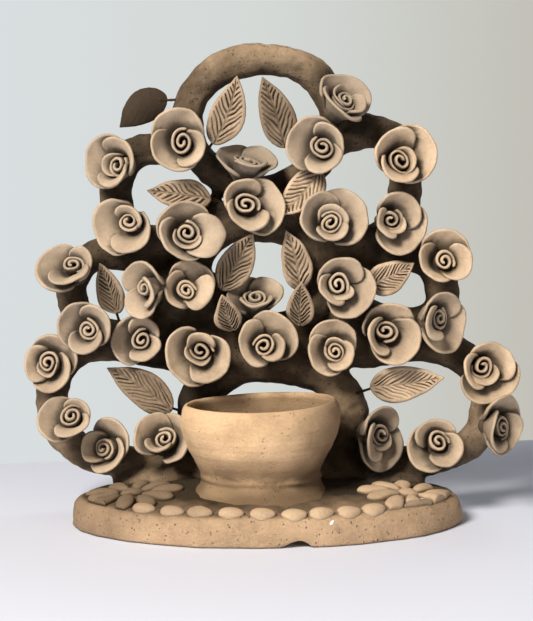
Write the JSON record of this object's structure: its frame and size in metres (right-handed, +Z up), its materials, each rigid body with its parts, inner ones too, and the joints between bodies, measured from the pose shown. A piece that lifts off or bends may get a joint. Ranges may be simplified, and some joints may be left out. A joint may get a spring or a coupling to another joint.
{
  "type": "clay tree of life",
  "caption": "Hand-built clay tree of life: oval plinth with a thrown bowl and a lattice of rolled coils carrying wire-stemmed clay roses and leaves.",
  "frame": {"origin": "middle of the plinth's flat underside", "axes": "+Z up, +Y towards the back, +X to the right seen from the bowl's side"},
  "size_m": [0.2973, 0.14, 0.2796],
  "materials": {
    "plinth_clay": "unglazed low-fired clay, sandy and pitted, darker in the recesses",
    "bowl_clay": "unglazed clay, thrown and wiped smooth, with a rough band near the foot",
    "coil_clay": "unglazed clay, brown and smoke-darkened, finely pitted",
    "rose_clay": "unglazed clay, finger-smoothed",
    "leaf_clay": "unglazed clay with veins cut by a blade",
    "relief_clay": "unglazed clay, pressed on by finger",
    "iron_wire": "annealed iron wire, oxidised in the firing"
  },
  "bodies": {
    "tree": {"plinth": "plinth_clay", "bowl": "bowl_clay", "left_daisy": "relief_clay", "right_daisy": "relief_clay", "pellet_border": "relief_clay", "trunk_arch": "coil_clay", "centre_ring": "coil_clay", "top_ring": "coil_clay", "middle_left_loop": "coil_clay", "middle_right_loop": "coil_clay", "lower_left_loop": "coil_clay", "lower_right_loop": "coil_clay", "upper_left_loop": "coil_clay", "upper_right_loop": "coil_clay", "rose_01": "rose_clay", "rose_02": "rose_clay", "rose_03": "rose_clay", "rose_04": "rose_clay", "rose_05": "rose_clay", "rose_06": "rose_clay", "rose_07": "rose_clay", "rose_08": "rose_clay", "rose_09": "rose_clay", "rose_10": "rose_clay", "rose_11": "rose_clay", "rose_12": "rose_clay", "rose_13": "rose_clay", "rose_14": "rose_clay", "rose_15": "rose_clay", "rose_16": "rose_clay", "rose_17": "rose_clay", "rose_18": "rose_clay", "rose_19": "rose_clay", "rose_20": "rose_clay", "rose_21": "rose_clay", "rose_22": "rose_clay", "rose_23": "rose_clay", "rose_24": "rose_clay", "rose_25": "rose_clay", "rose_26": "rose_clay", "rose_27": "rose_clay", "rose_28": "rose_clay", "rose_29": "rose_clay", "rose_30": "rose_clay", "rose_31": "rose_clay", "rose_32": "rose_clay", "leaf_04": "leaf_clay", "leaf_08": "leaf_clay", "leaf_09": "leaf_clay"},
    "leaf_01_on_wire": {"leaf_01": "leaf_clay"},
    "leaf_02_on_wire": {"leaf_02": "leaf_clay"},
    "leaf_03_on_wire": {"leaf_03": "leaf_clay"},
    "leaf_05_on_wire": {"leaf_05": "leaf_clay"},
    "leaf_06_on_wire": {"leaf_06": "leaf_clay"},
    "leaf_07_on_wire": {"leaf_07": "leaf_clay"},
    "leaf_10_on_wire": {"leaf_10": "leaf_clay"},
    "leaf_11_on_wire": {"leaf_11": "leaf_clay"},
    "leaf_12_on_wire": {"leaf_12": "leaf_clay"},
    "leaf_13_on_wire": {"leaf_13": "leaf_clay"}
  },
  "joints": [
    {"name": "leaf_01_bend", "type": "hinge", "parent": "tree", "child": "leaf_01_on_wire", "pos_m": [-0.0371, 0.0285, 0.216], "axis": [0.9488, 0, -0.3159], "range_deg": [-8, 8]},
    {"name": "leaf_02_bend", "type": "hinge", "parent": "tree", "child": "leaf_02_on_wire", "pos_m": [0.0166, 0.0298, 0.2079], "axis": [0.9511, 0, 0.309], "range_deg": [-8, 8]},
    {"name": "leaf_03_bend", "type": "hinge", "parent": "tree", "child": "leaf_03_on_wire", "pos_m": [-0.0312, 0.0267, 0.1853], "axis": [0.132, 0.172, 0.9762], "range_deg": [-8, 8]},
    {"name": "leaf_05_bend", "type": "hinge", "parent": "tree", "child": "leaf_05_on_wire", "pos_m": [-0.0351, 0.0286, 0.1318], "axis": [0.8779, 0, -0.4789], "range_deg": [-8, 8]},
    {"name": "leaf_06_bend", "type": "hinge", "parent": "tree", "child": "leaf_06_on_wire", "pos_m": [0.0255, 0.028, 0.133], "axis": [0.9748, 0, 0.223], "range_deg": [-8, 8]},
    {"name": "leaf_07_bend", "type": "hinge", "parent": "tree", "child": "leaf_07_on_wire", "pos_m": [-0.0879, 0.0286, 0.1106], "axis": [0.9138, -0.245, 0.3239], "range_deg": [-8, 8]},
    {"name": "leaf_10_bend", "type": "hinge", "parent": "tree", "child": "leaf_10_on_wire", "pos_m": [0.0549, 0.0273, 0.1334], "axis": [0.4472, 0, -0.8944], "range_deg": [-8, 8]},
    {"name": "leaf_11_bend", "type": "hinge", "parent": "tree", "child": "leaf_11_on_wire", "pos_m": [-0.0509, 0.0281, 0.06], "axis": [0.5598, 0, 0.8287], "range_deg": [-8, 8]},
    {"name": "leaf_12_bend", "type": "hinge", "parent": "tree", "child": "leaf_12_on_wire", "pos_m": [0.0534, 0.0279, 0.072], "axis": [0.1381, 0, -0.9904], "range_deg": [-8, 8]},
    {"name": "leaf_13_bend", "type": "hinge", "parent": "tree", "child": "leaf_13_on_wire", "pos_m": [-0.056, 0.0341, 0.2471], "axis": [-0.4042, 0.7973, 0.4482], "range_deg": [-8, 8]}
  ]
}
